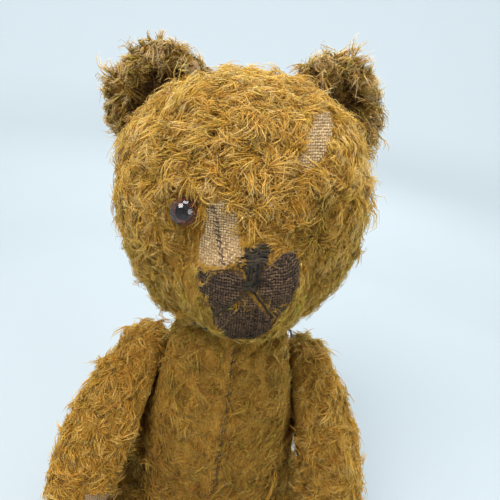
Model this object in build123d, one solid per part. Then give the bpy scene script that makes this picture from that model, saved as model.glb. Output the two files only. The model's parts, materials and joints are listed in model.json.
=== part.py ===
from build123d import *
from math import copysign, cos, pi, radians, sin
import os

# A jointed mohair teddy bear, seated, in millimetres.
# It faces -Y, +X is the bear's own left, and the origin is the middle of the seat.

# ---- body -------------------------------------------------------------------
COVER = 2.2            # thickness of the mohair cloth
FILL_GAP = 0.1         # slack between the cloth and the stuffing
BODY_GAP = 0.3         # gap between two pieces that turn against each other
NECK_Z = 175.0         # top of the torso
BELLY_Z = 70.0         # height of the widest part of the torso
TORSO_HALF_X = 47.0
TORSO_HALF_Y = 43.0
TORSO_REACH = (82.0, 125.0)     # how far the oval reaches below and above the belly
TORSO_POWER = (2.5, 2.2)        # squareness of the oval below and above the belly
SHOULDER_AT = (38.0, 0.0, 130.0)
SHOULDER_TILT = 15.0   # the shoulder faces lean outwards by this many degrees
HIP_AT = (35.0, 0.0, 27.0)
THIGH_POCKET_TOP = 54.6

# ---- head: z is measured from the top of the torso, before the head leans -----
HEAD_LEAN = 4.2        # degrees the head leans towards the bear's right
HEAD_TOP = 115.0
HEAD_MID = 58.0
HEAD_HALF_X = 57.5
HEAD_HALF_Y = 53.5
HEAD_REACH = (68.0, 57.0)
HEAD_POWER = (2.1, 2.3)
HEAD_LEVELS = (
    -6.0, 0.0, 8.0, 18.0, 32.0, 48.0, 64.0, 80.0, 93.0, 103.0, 110.0, 113.6, 114.9,
)
MUZZLE_Z = 40.0
MUZZLE_ROOT_Y = -20.0
MUZZLE_ROWS = (        # y, half width, half height
    (-20.0, 27.0, 25.0),
    (-45.0, 26.0, 24.5),
    (-58.0, 22.0, 20.5),
    (-66.0, 16.0, 15.0),
    (-70.5, 9.0, 8.5),
    (-72.0, 3.0, 3.0),
)
GUSSET_OUTLINE = (     # y, half width of the centre strip that runs from nose to nape
    (-90.0, 6.5),
    (-60.0, 8.0),
    (-45.0, 12.0),
    (-15.0, 19.0),
    (20.0, 19.0),
    (45.0, 13.0),
    (90.0, 8.0),
)
GUSSET_NOSE_Z = 50.0   # the strip starts at this height on the nose

# ---- ears -------------------------------------------------------------------
EAR_RIM_AT = (41.0, 5.0, 99.0)
EAR_FACING = (0.35, -0.93, 0.1)
EAR_RADIUS = 31.0      # outer radius of the cupped ear
EAR_CLOTH = 3.0        # each of the two cloths with its pile
EAR_RIM_BACK = 15.0    # distance of the rim plane behind the centre of the cup

# ---- face -------------------------------------------------------------------
EYE_AT = (-24.5, -48.4, 68.6)
EYE_OUT = (-0.28, -0.93, 0.2)
EYE_RADIUS = 5.6
EYE_PROUD = 0.8        # the middle of the eye sits this far outside the cloth
EYE_BACK = 2.0         # flat back, behind the middle
PUPIL_RADIUS = 2.7
PUPIL_DEPTH = 3.2
EYE_LOOP_RADIUS = 2.0
EYE_LOOP_WIRE = 0.5
THREAD_RISE = 1.3      # how far the stitched threads stand out from the cloth
THREAD_GAP = 0.05
NOSE_OUTLINE = (       # right half of the nose, x and z
    (6.5, 61.8),
    (6.0, 58.2),
    (2.8, 57.0),
    (1.9, 53.5),
    (2.5, 51.5),
    (1.5, 50.3),
)
MOUTH_TOP_Z = 50.2
MOUTH_END = (10.5, 39.5)
MOUTH_WIDTH = 1.8
NECK_THREAD_Z = (0.4, 2.0)
NECK_THREAD_RISE = 3.0

# ---- arms, in the shoulder frame: x points out of the joint, s runs down ------
ARM_CAP = 21.0         # radius of the rounded top
ARM_PANEL_X = 15.0     # seam between the inner and the outer panel
PAW_START = 70.0       # the paw pad takes over from the inner panel here
ARM_ROWS = (           # s, centre x, centre y, half width x, half width y
    (0.0, 9.0, 0.0, 16.5, 19.0),
    (9.0, 10.5, 0.0, 18.3, 20.3),
    (20.0, 12.3, 0.0, 20.0, 21.3),
    (34.0, 14.0, -0.2, 21.3, 21.6),
    (50.0, 15.3, -1.0, 21.2, 20.8),
    (66.0, 16.8, -2.4, 18.4, 18.6),
    (79.0, 17.6, -4.6, 15.0, 16.0),
    (90.0, 17.8, -7.4, 11.2, 12.4),
    (96.5, 17.7, -9.4, 7.4, 8.2),
    (99.8, 17.6, -10.6, 3.4, 3.7),
    (100.5, 17.6, -11.0, 1.3, 1.4),
)
ARM_SWING_LEFT = 22.0    # degrees forwards at rest
ARM_SWING_RIGHT = 28.0

# ---- legs, in the hip frame: x points out of the joint, the leg runs along -y -
LEG_CAP = 27.0
LEG_PANEL_X = 16.0
LEG_ROWS = (           # distance forwards, centre x, centre z, half width, half height
    (0.0, 14.0, 0.0, 18.8, 27.0),
    (11.0, 14.0, 0.0, 18.8, 26.9),
    (25.0, 14.2, -0.7, 18.5, 26.1),
    (42.0, 14.6, -1.9, 17.9, 24.8),
    (62.0, 15.2, -3.6, 17.0, 22.8),
    (84.0, 16.0, -6.1, 16.0, 20.0),
    (103.0, 16.5, -7.4, 15.6, 18.4),
    (119.0, 16.5, -5.2, 16.2, 20.8),
    (132.0, 16.5, -0.4, 17.2, 25.8),
    (143.0, 16.5, 3.6, 17.9, 29.9),
    (150.0, 16.5, 4.0, 17.5, 29.8),
)
LEG_LENGTH = 150.0

# ---- joint hardware -----------------------------------------------------------
DISC = 2.5             # thickness of a hardboard disc
WASHER = 1.0
WASHER_RADIUS = 7.0
SLACK = 0.1            # play between neighbouring pieces on the pin
NECK_DISC_RADIUS = 22.0
SHOULDER_DISC_RADIUS = 12.6
HIP_DISC_RADIUS = 15.0
PIN_WIRE = 0.8         # radius of the pin wire
PIN_HALF_PITCH = 0.85  # the two legs of the pin sit this far from its middle
PIN_HOLE = 1.70        # radius of the hole in discs and washers
CLOTH_HOLE = 2.0       # radius of the hole in the cloth
PIN_EYE_RADIUS = 3.0
PIN_CURL_RADIUS = 2.2
PIN_CURL_AT = -8.0
PIN_CURL_TURN = 200.0  # degrees each leg is curled over

# ---- modelling helpers --------------------------------------------------------
FAR = 600.0
OUTLINE_POINTS = 16
SMALL_HALF = 8.0       # half widths below this shrink in proportion
CAP_ANGLES = (84.0, 66.0, 46.0, 24.0)


def oval(plane, half_u, half_v, power=2.0):
    """Smooth closed oval outline around the middle of a plane."""
    points = []
    for i in range(OUTLINE_POINTS):
        turn = 2 * pi * i / OUTLINE_POINTS
        u = copysign(abs(cos(turn)) ** (2 / power), cos(turn))
        v = copysign(abs(sin(turn)) ** (2 / power), sin(turn))
        points.append(plane.from_local_coords(Vector(half_u * u, half_v * v, 0)))
    return Wire([Edge.make_spline(points, periodic=True)])


def shrunk(half, inset):
    """Half width of the same outline drawn 'inset' further in."""
    return half - inset * min(1.0, half / SMALL_HALF)


def egg_factor(offset, reach, power):
    """Relative width of an egg at an offset from its widest level."""
    return (1 - (abs(offset) / reach) ** power) ** (1 / power)


def half_space(point, normal):
    """All the space on the side of a plane that its normal points to."""
    plane = Plane(origin=point, z_dir=normal)
    return plane.location * Pos(0, 0, FAR / 2) * Box(FAR, FAR, FAR)


def slab(low, high):
    """Box between two corners."""
    size = [b - a for a, b in zip(low, high)]
    middle = [(a + b) / 2 for a, b in zip(low, high)]
    return Pos(*middle) * Box(*size)


def rod(radius, start, end):
    """Cylinder along x."""
    return Pos((start + end) / 2, 0, 0) * Rot(0, 90, 0) * Cylinder(radius, abs(end - start))


def mirrored(shape):
    """The same piece on the other side of the bear."""
    return mirror(shape, about=Plane.YZ)


def turned(shape):
    """A piece of the left side turned half round onto the right side."""
    return Rot(0, 0, 180) * shape


def place_shoulder(shape, swing=0.0):
    """Put a piece from the joint frame onto the left shoulder."""
    return Pos(*SHOULDER_AT) * Rot(0, -SHOULDER_TILT, 0) * Rot(-swing, 0, 0) * shape


def place_hip(shape):
    return Pos(*HIP_AT) * shape


def place_neck(shape):
    return Pos(0, 0, NECK_Z) * Rot(0, -90, 0) * shape


def place_head(shape):
    return Pos(0, 0, NECK_Z) * shape


def lean(shape):
    """Lean a piece of the head sideways about the neck."""
    return Rot(0, -HEAD_LEAN, 0) * shape


# ---- torso ----------------------------------------------------------------------
def torso_solid(inset=0.0):
    """Pear shaped torso, with flats for the arms and pockets for the thighs."""
    outlines = []
    rows = 11
    for i in range(rows):
        z = NECK_Z * i / (rows - 1)
        side = 0 if z < BELLY_Z else 1
        factor = egg_factor(z - BELLY_Z, TORSO_REACH[side], TORSO_POWER[side])
        level = inset + z * (NECK_Z - 2 * inset) / NECK_Z
        half_x = shrunk(TORSO_HALF_X * factor, inset)
        half_y = shrunk(TORSO_HALF_Y * factor, inset)
        outlines.append(oval(Plane.XY.offset(level), half_x, half_y))
    body = Part() + Solid.make_loft(outlines)
    shoulder_cut = place_shoulder(slab((-inset, -FAR, -FAR), (FAR, FAR, FAR)))
    pocket = slab((HIP_AT[0] - inset, -FAR, -FAR), (FAR, FAR, THIGH_POCKET_TOP + inset))
    for cut in (shoulder_cut, pocket):
        body = body - cut - mirrored(cut)
    return body


def torso_side_parts(cut):
    """A cutter at every joint of the torso: neck, both shoulders, both hips."""
    shoulder = place_shoulder(cut(SHOULDER_DISC_RADIUS))
    hip = place_hip(cut(HIP_DISC_RADIUS))
    return [
        place_neck(cut(NECK_DISC_RADIUS)),
        shoulder,
        mirrored(shoulder),
        hip,
        mirrored(hip),
    ]


def torso_cavity(disc_radius):
    """Room in the stuffing for the disc, the washer and the curled pin ends."""
    disc_end = COVER + SLACK + DISC + SLACK / 2
    washer_end = disc_end + WASHER + SLACK
    curl_end = PIN_CURL_RADIUS + PIN_WIRE - PIN_CURL_AT + BODY_GAP
    curl_room = PIN_HALF_PITCH + 2 * PIN_CURL_RADIUS + PIN_WIRE + BODY_GAP
    room = rod(disc_radius + BODY_GAP, 0, -disc_end)
    room = room + rod(WASHER_RADIUS + BODY_GAP, 0, -washer_end)
    return room + rod(curl_room, 0, -curl_end)


def cloth_hole(disc_radius):
    """Hole for the pin through the cloth, the same at every joint."""
    return rod(CLOTH_HOLE, -2 * COVER, 2 * COVER)


def make_torso(nodes):
    cover = torso_solid() - torso_solid(COVER)
    stuffing = torso_solid(COVER + FILL_GAP)
    for hole in torso_side_parts(cloth_hole):
        cover = cover - hole
    for room in torso_side_parts(torso_cavity):
        stuffing = stuffing - room
    nodes["torso_panel_left"] = cover & slab((0, -FAR, -FAR), (FAR, FAR, FAR))
    nodes["torso_panel_right"] = cover & slab((-FAR, -FAR, -FAR), (0, FAR, FAR))
    nodes["torso_stuffing"] = stuffing


# ---- head -----------------------------------------------------------------------
def skull(inset):
    """Round head, upright, with a little more under it than is kept."""
    outlines = []
    base = BODY_GAP + inset
    for z in HEAD_LEVELS:
        side = 0 if z < HEAD_MID else 1
        factor = egg_factor(z - HEAD_MID, HEAD_REACH[side], HEAD_POWER[side])
        level = base + z * (HEAD_TOP - 2 * inset) / HEAD_TOP
        half_x = shrunk(HEAD_HALF_X * factor, inset)
        half_y = shrunk(HEAD_HALF_Y * factor, inset)
        outlines.append(oval(Plane.XY.offset(level), half_x, half_y))
    return Solid.make_loft(outlines)


def muzzle(inset):
    """Blunt muzzle that runs forwards out of the head."""
    outlines = []
    tip = MUZZLE_ROWS[-1][0]
    stretch = (tip + inset - MUZZLE_ROOT_Y) / (tip - MUZZLE_ROOT_Y)
    for y, half_x, half_z in MUZZLE_ROWS:
        level = MUZZLE_ROOT_Y + (y - MUZZLE_ROOT_Y) * stretch
        plane = Plane(origin=(0, level, MUZZLE_Z), x_dir=(1, 0, 0), z_dir=(0, -1, 0))
        outlines.append(oval(plane, shrunk(half_x, inset), shrunk(half_z, inset)))
    return Solid.make_loft(outlines)


def head_solid(inset=0.0):
    """Head with its muzzle, leaning, and cut flat where it stands on the neck."""
    head = lean(Part() + skull(inset) + muzzle(inset))
    return head & slab((-FAR, -FAR, BODY_GAP + inset), (FAR, FAR, FAR))


def gusset_zone():
    """Where the centre strip lies: over the brow, the crown and down the nape."""
    right = [(half, y) for y, half in GUSSET_OUTLINE]
    left = [(-half, y) for y, half in reversed(GUSSET_OUTLINE)]
    strip = extrude(make_face(Polyline(*right, *left, close=True)), FAR / 2)
    brow = strip & slab((-FAR, -FAR, GUSSET_NOSE_Z), (FAR, 0, FAR))
    nape = strip & slab((-FAR, 0, -FAR), (FAR, FAR, FAR))
    return lean(brow + nape)


def eye_frame():
    """Frame on the middle of the glass eye, z pointing out of the head."""
    out = Vector(*EYE_OUT).normalized()
    middle = Vector(*EYE_AT) + out * EYE_PROUD
    return lean(Plane(origin=middle, z_dir=out).location)


def eye_socket():
    """Room for the eye and for the wire loop behind it."""
    loop_end = EYE_BACK + 2 * EYE_LOOP_RADIUS + 2 * EYE_LOOP_WIRE + BODY_GAP
    loop_room = Pos(0, 0, -loop_end / 2) * Cylinder(EYE_LOOP_RADIUS + 1.0, loop_end)
    return eye_frame() * (Sphere(EYE_RADIUS + THREAD_GAP) + loop_room)


def make_head(nodes):
    neck_hole = Rot(0, -90, 0) * cloth_hole(NECK_DISC_RADIUS)
    cover = head_solid() - head_solid(COVER) - eye_socket() - neck_hole
    stuffing = head_solid(COVER + FILL_GAP) - eye_socket()
    stuffing = stuffing - Rot(0, -90, 0) * limb_cavity(NECK_DISC_RADIUS)
    zone = gusset_zone()
    sides = cover - zone
    left_half = lean(slab((0, -FAR, -FAR), (FAR, FAR, FAR)))
    nodes["head_gusset"] = place_head(cover & zone)
    nodes["head_side_left"] = place_head(sides & left_half)
    nodes["head_side_right"] = place_head(sides - left_half)
    nodes["head_stuffing"] = place_head(stuffing)


def make_ears(nodes):
    """Two cupped ears, each sewn from a front and a back cloth."""
    facing = Vector(*EAR_FACING).normalized()
    middle = Vector(*EAR_RIM_AT) + facing * EAR_RIM_BACK
    cup = Plane(origin=middle, z_dir=facing).location
    behind_rim = half_space(Vector(*EAR_RIM_AT), facing * -1)
    head = head_solid(-THREAD_GAP)
    radii = (EAR_RADIUS, EAR_RADIUS - EAR_CLOTH, EAR_RADIUS - 2 * EAR_CLOTH)
    for name, outer, inner in (("back", *radii[:2]), ("front", *radii[1:])):
        ear = cup * (Sphere(outer) - Sphere(inner)) & behind_rim
        nodes["ear_" + name + "_left"] = place_head(lean(ear) - head)
        nodes["ear_" + name + "_right"] = place_head(lean(mirrored(ear)) - head)


def make_eye(nodes):
    """Glass eye with its pupil set in from behind, on a wire loop."""
    glass = Sphere(EYE_RADIUS) & slab((-FAR, -FAR, -EYE_BACK), (FAR, FAR, FAR))
    pupil_at = Pos(0, 0, PUPIL_DEPTH / 2 - EYE_BACK)
    glass = glass - pupil_at * Cylinder(PUPIL_RADIUS + THREAD_GAP, PUPIL_DEPTH + THREAD_GAP)
    pupil = pupil_at * Cylinder(PUPIL_RADIUS, PUPIL_DEPTH)
    loop_z = -EYE_BACK - THREAD_GAP - EYE_LOOP_RADIUS - EYE_LOOP_WIRE
    loop = Pos(0, 0, loop_z) * Rot(90, 0, 0) * Torus(EYE_LOOP_RADIUS, EYE_LOOP_WIRE)
    nodes["eye_glass"] = place_head(eye_frame() * glass)
    nodes["eye_pupil"] = place_head(eye_frame() * pupil)
    nodes["eye_wire_loop"] = place_head(eye_frame() * loop)


def face_prism(points):
    """Prism along y through the front of the face, from an x and z outline."""
    face = make_face(Polyline(*[(x, 0, z) for x, z in points], close=True))
    return Pos(0, -FAR / 4, 0) * extrude(face, amount=FAR / 4, both=True)


def mouth_strip(side):
    """One slanting stitch of the mouth."""
    end_x, end_z = MOUTH_END
    half = MOUTH_WIDTH / 2
    outline = [
        (-half * side, MOUTH_TOP_Z - half),
        (0, MOUTH_TOP_Z),
        (side * end_x + side * half, end_z),
        (side * end_x - side * half, end_z - half),
    ]
    return face_prism(outline)


def make_stitching(nodes):
    """Nose and mouth, stitched in thread over the front of the muzzle."""
    raised = head_solid(-THREAD_RISE) - head_solid(-THREAD_GAP)
    front = raised & slab((-FAR, -FAR, 0), (FAR, MUZZLE_ROOT_Y, FAR))
    mirrored_outline = [(-x, z) for x, z in reversed(NOSE_OUTLINE)]
    nose = front & lean(face_prism(list(NOSE_OUTLINE) + mirrored_outline))
    mouth = front & lean(mouth_strip(1) + mouth_strip(-1))
    nodes["nose_stitching"] = place_head(nose)
    nodes["mouth_stitching"] = place_head(mouth)


def make_neck_thread(nodes):
    """Gathering thread wound around the bottom edge of the head."""
    factor = egg_factor(HEAD_MID, HEAD_REACH[0], HEAD_POWER[0])
    low, high = NECK_THREAD_Z
    half_x = HEAD_HALF_X * factor + NECK_THREAD_RISE
    half_y = HEAD_HALF_Y * factor + NECK_THREAD_RISE
    outline = oval(Plane.XY.offset(low), half_x, half_y)
    band = extrude(Face(outline), high - low)
    nodes["neck_thread"] = place_head(band - head_solid(-THREAD_GAP))


# ---- limbs ----------------------------------------------------------------------
def limb_rows(rows, cap):
    """Outline rows of a limb with the rows of its rounded top put in front."""
    first = rows[0]
    top = []
    for angle in CAP_ANGLES:
        shape = cos(radians(angle))
        along = -cap * sin(radians(angle))
        top.append((along, first[1], first[2], first[3] * shape, first[4] * shape))
    return top + list(rows)


def limb_solid(rows, plane_at, inset):
    """Limb through its outline rows, flat on the side that meets the torso."""
    start = rows[0][0]
    end = rows[-1][0]
    outlines = []
    for along, across, side, half_u, half_v in rows:
        level = start + inset + (along - start) * (end - start - 2 * inset) / (end - start)
        plane = plane_at(level, across, side)
        outlines.append(oval(plane, shrunk(half_u, inset), shrunk(half_v, inset)))
    limb = Part() + Solid.make_loft(outlines)
    return limb & slab((BODY_GAP + inset, -FAR, -FAR), (FAR, FAR, FAR))


def arm_plane(level, across, side):
    return Plane(origin=(across, side, -level), x_dir=(1, 0, 0), z_dir=(0, 0, 1))


def leg_plane(level, across, side):
    return Plane(origin=(across, -level, side), x_dir=(1, 0, 0), z_dir=(0, -1, 0))


def limb_cavity(disc_radius):
    """Room in a limb for its disc, its washer and the eye of the pin."""
    disc_end = BODY_GAP + COVER + SLACK + DISC + SLACK / 2
    washer_end = disc_end + WASHER + SLACK
    eye_end = washer_end + 2 * PIN_EYE_RADIUS + 2 * PIN_WIRE + BODY_GAP
    room = rod(disc_radius + BODY_GAP, 0, disc_end)
    room = room + rod(WASHER_RADIUS + BODY_GAP, 0, washer_end)
    return room + rod(PIN_EYE_RADIUS + PIN_WIRE + BODY_GAP, 0, eye_end)


def limb_cover_and_fill(rows, plane_at, disc_radius):
    cover = limb_solid(rows, plane_at, 0.0) - limb_solid(rows, plane_at, COVER)
    cover = cover - cloth_hole(disc_radius)
    fill = limb_solid(rows, plane_at, COVER + FILL_GAP) - limb_cavity(disc_radius)
    return cover, fill


def arm_parts():
    """Pieces of one arm, hanging straight down in the shoulder frame."""
    rows = limb_rows(ARM_ROWS, ARM_CAP)
    cover, fill = limb_cover_and_fill(rows, arm_plane, SHOULDER_DISC_RADIUS)
    inner = cover & slab((-FAR, -FAR, -FAR), (ARM_PANEL_X, FAR, FAR))
    return {
        "outer_panel": cover & slab((ARM_PANEL_X, -FAR, -FAR), (FAR, FAR, FAR)),
        "inner_panel": inner & slab((-FAR, -FAR, -PAW_START), (FAR, FAR, FAR)),
        "paw_pad": inner & slab((-FAR, -FAR, -FAR), (FAR, FAR, -PAW_START)),
        "stuffing": fill,
    }


def leg_parts():
    """Pieces of one leg, pointing forwards in the hip frame."""
    rows = limb_rows(LEG_ROWS, LEG_CAP)
    cover, fill = limb_cover_and_fill(rows, leg_plane, HIP_DISC_RADIUS)
    sole = COVER - LEG_LENGTH
    upper = cover & slab((-FAR, sole, -FAR), (FAR, FAR, FAR))
    return {
        "outer_panel": upper & slab((LEG_PANEL_X, -FAR, -FAR), (FAR, FAR, FAR)),
        "inner_panel": upper & slab((-FAR, -FAR, -FAR), (LEG_PANEL_X, FAR, FAR)),
        "foot_pad": cover & slab((-FAR, -FAR, -FAR), (FAR, sole, FAR)),
        "stuffing": fill,
    }


def make_limbs(nodes):
    for name, shape in arm_parts().items():
        nodes["arm_left_" + name] = place_shoulder(shape, ARM_SWING_LEFT)
        nodes["arm_right_" + name] = mirrored(place_shoulder(shape, ARM_SWING_RIGHT))
    for name, shape in leg_parts().items():
        nodes["leg_left_" + name] = place_hip(shape)
        nodes["leg_right_" + name] = mirrored(place_hip(shape))


# ---- joint hardware ---------------------------------------------------------------
def holed_disc(radius, start, thickness):
    """Disc or washer with the pin hole, lying across the joint axis."""
    return rod(radius, start, start + thickness) - rod(PIN_HOLE, start, start + thickness)


def pin_leg():
    """One leg of the cotter pin, curled over at its end."""
    start = pin_eye_x() - PIN_EYE_RADIUS + PIN_WIRE
    straight = Line((start, PIN_HALF_PITCH), (PIN_CURL_AT, PIN_HALF_PITCH))
    curl_middle = (PIN_CURL_AT, PIN_HALF_PITCH + PIN_CURL_RADIUS)
    curl = CenterArc(curl_middle, PIN_CURL_RADIUS, -90, -PIN_CURL_TURN)
    path = straight + curl
    section = Plane(origin=straight @ 0, z_dir=straight % 0) * Circle(PIN_WIRE)
    return sweep(section, path=path)


def pin_eye_x():
    """Middle of the pin eye, beyond the limb washer."""
    washer_end = BODY_GAP + COVER + DISC + WASHER + 3 * SLACK
    return washer_end + PIN_EYE_RADIUS + PIN_WIRE


def cotter_pin():
    """Split pin: a round eye in the limb and two curled legs in the torso."""
    eye = Pos(pin_eye_x(), 0, 0) * Torus(PIN_EYE_RADIUS, PIN_WIRE)
    leg = pin_leg()
    return Rot(90, 0, 0) * (eye + leg + mirror(leg, about=Plane.XZ))


def joint_hardware(disc_radius):
    """Pieces on one joint axis, torso side first."""
    torso_disc_at = -COVER - SLACK - DISC
    limb_disc_at = BODY_GAP + COVER + SLACK
    return {
        "torso_disc": holed_disc(disc_radius, torso_disc_at, DISC),
        "torso_washer": holed_disc(WASHER_RADIUS, torso_disc_at - SLACK - WASHER, WASHER),
        "disc": holed_disc(disc_radius, limb_disc_at, DISC),
        "washer": holed_disc(WASHER_RADIUS, limb_disc_at + DISC + SLACK, WASHER),
        "pin": cotter_pin(),
    }


def make_hardware(nodes):
    for name, shape in joint_hardware(NECK_DISC_RADIUS).items():
        nodes["neck_" + name] = place_neck(shape)
    for name, shape in joint_hardware(SHOULDER_DISC_RADIUS).items():
        turns = name in ("disc", "washer", "pin")
        left_swing = ARM_SWING_LEFT if turns else 0.0
        right_swing = ARM_SWING_RIGHT if turns else 0.0
        nodes["shoulder_left_" + name] = place_shoulder(shape, left_swing)
        nodes["shoulder_right_" + name] = turned(place_shoulder(shape, -right_swing))
    for name, shape in joint_hardware(HIP_DISC_RADIUS).items():
        nodes["hip_left_" + name] = place_hip(shape)
        nodes["hip_right_" + name] = turned(place_hip(shape))


def main():
    nodes = {}
    make_torso(nodes)
    make_head(nodes)
    make_ears(nodes)
    make_eye(nodes)
    make_stitching(nodes)
    make_neck_thread(nodes)
    make_limbs(nodes)
    make_hardware(nodes)
    os.makedirs("parts", exist_ok=True)
    for name, shape in nodes.items():
        export_step(shape, "parts/" + name + ".step")


main()
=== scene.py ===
import json
import math

import bpy
import numpy as np
from mathutils import Matrix, Vector
from mathutils.bvhtree import BVHTree


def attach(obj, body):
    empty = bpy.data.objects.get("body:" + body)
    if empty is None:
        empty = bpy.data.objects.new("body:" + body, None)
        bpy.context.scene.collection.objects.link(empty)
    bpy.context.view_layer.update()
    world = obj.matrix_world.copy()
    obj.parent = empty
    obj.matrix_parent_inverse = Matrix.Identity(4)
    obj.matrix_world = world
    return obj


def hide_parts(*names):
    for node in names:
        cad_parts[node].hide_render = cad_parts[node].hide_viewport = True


# A worn, jointed mohair teddy bear. Lengths are in millimetres until a mesh is made.
# Places on the head are in its own upright frame, with z measured from the neck.
MM = 0.001
NECK_Z = 175.0
HEAD_LEAN = math.radians(4.2)
SHOULDER = np.array((38.0, 0.0, 130.0))
SHOULDER_TILT = math.radians(15.0)
ARM_SWING = {"left": math.radians(22.0), "right": math.radians(28.0)}
HIP_X = 35.0               # inner face of each leg
SOLE_Y = -147.8
EAR_RIM_AT = np.array((41.0, 5.0, 99.0))
EAR_FACING = np.array((0.35, -0.93, 0.1))
EAR_MIDDLE = 28.0          # radius of the seam between the two ear cloths
EYE_AT = np.array((-24.5, -48.6, 68.6))
EYE_GLASS_AT = np.array((-24.5, -48.4, 68.6))
EYE_OUT = np.array((-0.28, -0.93, 0.2))
EYE_CLEAR = 6.9            # no pile grows this near to the eye
LOST_EYE_AT = np.array((27.0, -46.0, 67.0))
EAR_BALD_AT = np.array((-26.5, -3.0, 113.0))
ARM_CREASE = np.array(((-76.0, -43.0, 94.0), (-50.0, -39.0, 89.0)))
EAR_TUFTS = {
    "right": ((-1.0, 0.0, 0.3),),
    "left": ((-0.3, 0.0, 1.0), (-0.95, 0.0, 0.7)),
}
STRANDS_PER_PIECE = 8900
ROOTED = 0.5               # how deep a strand starts in the cloth
SEAT_GAP = 0.3             # no strand lies lower than this over the floor
CURL_STEPS = 12
COMMON_STYLE = {"fall": -0.6, "disorder": 0.22, "points": 4}

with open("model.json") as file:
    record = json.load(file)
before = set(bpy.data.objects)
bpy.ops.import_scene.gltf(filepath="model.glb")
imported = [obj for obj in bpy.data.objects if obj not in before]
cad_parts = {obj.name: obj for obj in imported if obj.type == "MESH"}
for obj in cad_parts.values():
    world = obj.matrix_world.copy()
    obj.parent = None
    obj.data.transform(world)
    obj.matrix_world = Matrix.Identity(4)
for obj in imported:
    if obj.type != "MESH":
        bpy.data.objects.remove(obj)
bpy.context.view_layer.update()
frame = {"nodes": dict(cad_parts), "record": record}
nodes = frame["nodes"]


# ---- small numeric helpers ----
def unit(v):
    return v / np.maximum(np.linalg.norm(v, axis=-1, keepdims=True), 1e-9)


def clip01(v):
    return np.clip(v, 0, 1)


class Waves:
    """Smooth seeded noise: a sum of sine waves, about -1 to 1."""

    def __init__(self, seed, size, count=9):
        rng = np.random.default_rng(seed)
        spread = unit(rng.normal(size=(count, 3)))
        self.waves = spread * (2 * np.pi / size) * rng.uniform(0.6, 1.7, (count, 1))
        self.phase = rng.uniform(0, 2 * np.pi, count)

    def __call__(self, p):
        return np.sin(p @ self.waves.T + self.phase).sum(1) / math.sqrt(len(self.phase) / 2) / 1.6


def inside(outline, x, z):
    """Which points of a plane lie inside a closed outline."""
    hit = np.zeros(len(x), bool)
    points = np.array(outline, float)
    for (x0, z0), (x1, z1) in zip(points, np.roll(points, -1, 0)):
        if z0 == z1:
            continue
        crossing = (z0 > z) != (z1 > z)
        hit ^= crossing & (x < x0 + (x1 - x0) * (z - z0) / (z1 - z0))
    return hit


def turn_y(p, angle):
    """Turn points about the y axis."""
    c, s = math.cos(angle), math.sin(angle)
    return np.stack([p[:, 0] * c + p[:, 2] * s, p[:, 1], p[:, 2] * c - p[:, 0] * s], 1)


def turn_x(p, angle):
    """Turn points about the x axis."""
    c, s = math.cos(angle), math.sin(angle)
    return np.stack([p[:, 0], p[:, 1] * c - p[:, 2] * s, p[:, 1] * s + p[:, 2] * c], 1)


def head_local(p):
    """World points in the frame of the head."""
    return turn_y(p - (0, 0, NECK_Z), HEAD_LEAN)


def head_world(p):
    return turn_y(np.atleast_2d(p), -HEAD_LEAN) + (0, 0, NECK_Z)


def arm_local(p, side):
    """World points in the frame of a hanging arm: x out of the joint, z up."""
    p = p * ((1 if side == "left" else -1), 1, 1)
    return turn_x(turn_y(p - SHOULDER, SHOULDER_TILT), ARM_SWING[side])


def swirls(at, first_seed, size):
    """Three noise fields as the parts of a vector."""
    return np.stack([Waves(first_seed + k, size)(at) for k in range(3)], 1)


# ---- meshes ----
def linked(name, data):
    """A new object in the scene."""
    thing = bpy.data.objects.new(name, data)
    bpy.context.scene.collection.objects.link(thing)
    return thing


def new_object(name, points, face_sets, material, smooth=True):
    """A mesh object from points in millimetres and arrays of faces."""
    mesh = bpy.data.meshes.new(name)
    mesh.vertices.add(len(points))
    mesh.vertices.foreach_set("co", (points * MM).astype(np.float32).ravel())
    loops = np.concatenate([f.ravel() for f in face_sets]).astype(np.int32)
    sizes = np.concatenate([np.full(len(f), f.shape[1]) for f in face_sets])
    starts = np.concatenate([[0], np.cumsum(sizes)[:-1]]).astype(np.int32)
    mesh.loops.add(len(loops))
    mesh.loops.foreach_set("vertex_index", loops)
    mesh.polygons.add(len(starts))
    mesh.polygons.foreach_set("loop_start", starts)
    mesh.update(calc_edges=True)
    if smooth:
        mesh.shade_smooth()
    mesh.materials.append(material)
    return linked(name, mesh)


def add_attribute(thing, name, values):
    layer = thing.data.attributes.new(name, "FLOAT", "POINT")
    layer.data.foreach_set("value", values.astype(np.float32))


def node_mesh(names):
    """The named CAD nodes as one set of points and triangles."""
    points, faces, start = [], [], 0
    for name in names:
        mesh = nodes[name].data
        mesh.calc_loop_triangles()
        co = np.empty(len(mesh.vertices) * 3)
        mesh.vertices.foreach_get("co", co)
        tri = np.empty(len(mesh.loop_triangles) * 3, np.int32)
        mesh.loop_triangles.foreach_get("vertices", tri)
        points.append(co.reshape(-1, 3) / MM)
        faces.append(tri.reshape(-1, 3) + start)
        start += len(mesh.vertices)
    return np.concatenate(points), np.concatenate(faces)


def largest_island(points, quads):
    """Drop closed surfaces that lie inside the outer one."""
    label = np.arange(len(points))
    while True:
        low = label[quads].min(1)
        after = label.copy()
        for k in range(4):
            np.minimum.at(after, quads[:, k], low)
        after = after[after]
        if np.array_equal(after, label):
            break
        label = after
    names, counts = np.unique(label[quads[:, 0]], return_counts=True)
    keep = label[quads[:, 0]] == names[counts.argmax()]
    used, flat = np.unique(quads[keep], return_inverse=True)
    return points[used], flat.reshape(-1, 4)


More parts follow.
